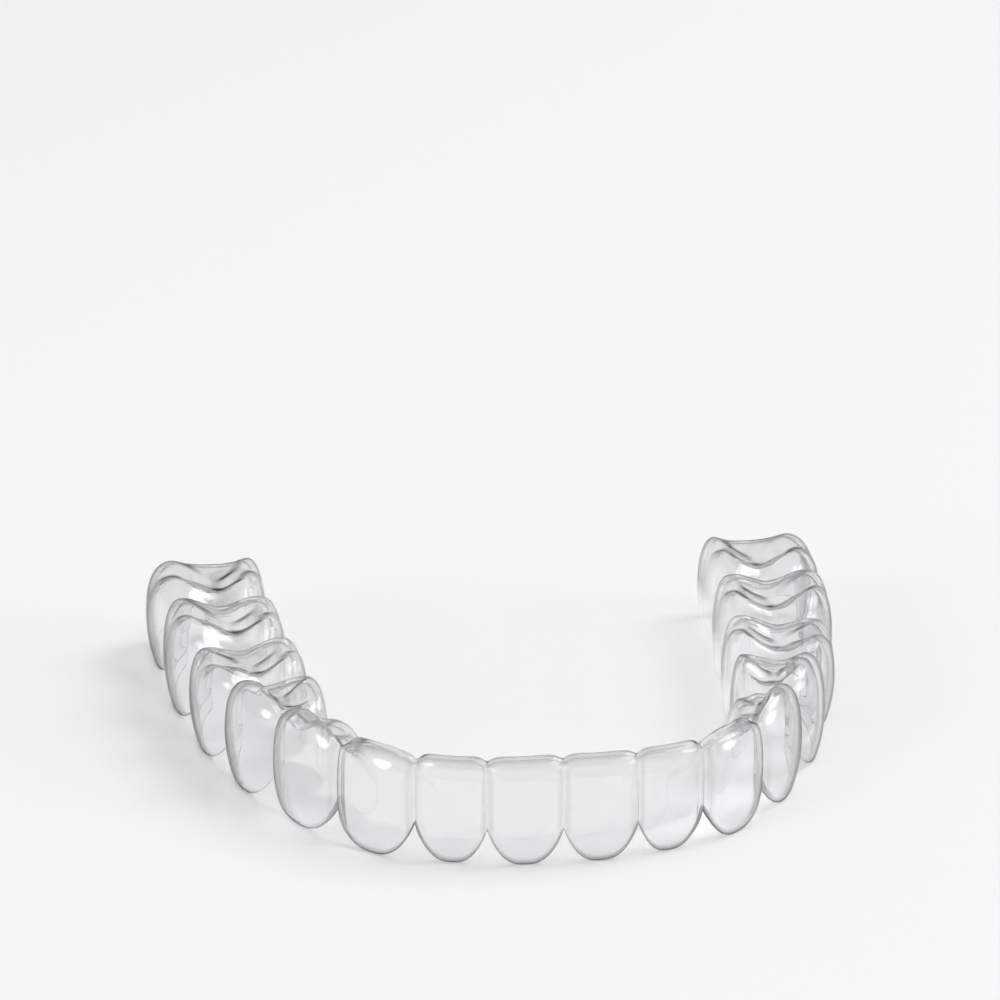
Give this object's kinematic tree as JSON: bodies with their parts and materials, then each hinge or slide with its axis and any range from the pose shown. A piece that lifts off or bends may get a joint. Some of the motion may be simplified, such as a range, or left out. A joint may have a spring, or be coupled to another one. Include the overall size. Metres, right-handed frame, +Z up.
{
  "type": "clear aligner",
  "caption": "Clear plastic dental aligner for a lower arch: a thin U-shaped tray of tooth forms, open underneath, with a scalloped edge.",
  "frame": {"origin": "middle of the footprint, on the plane that the trimmed edge stands on", "axes": "+X from one side of the arch to the other, across the midline, with -Y towards the front teeth and +Z up through the biting surfaces"},
  "size_m": [0.0572, 0.0488, 0.0089],
  "materials": {
    "aligner_shell": "clear, polished"
  },
  "bodies": {
    "root": {"aligner_shell": "aligner_shell"}
  },
  "joints": []
}
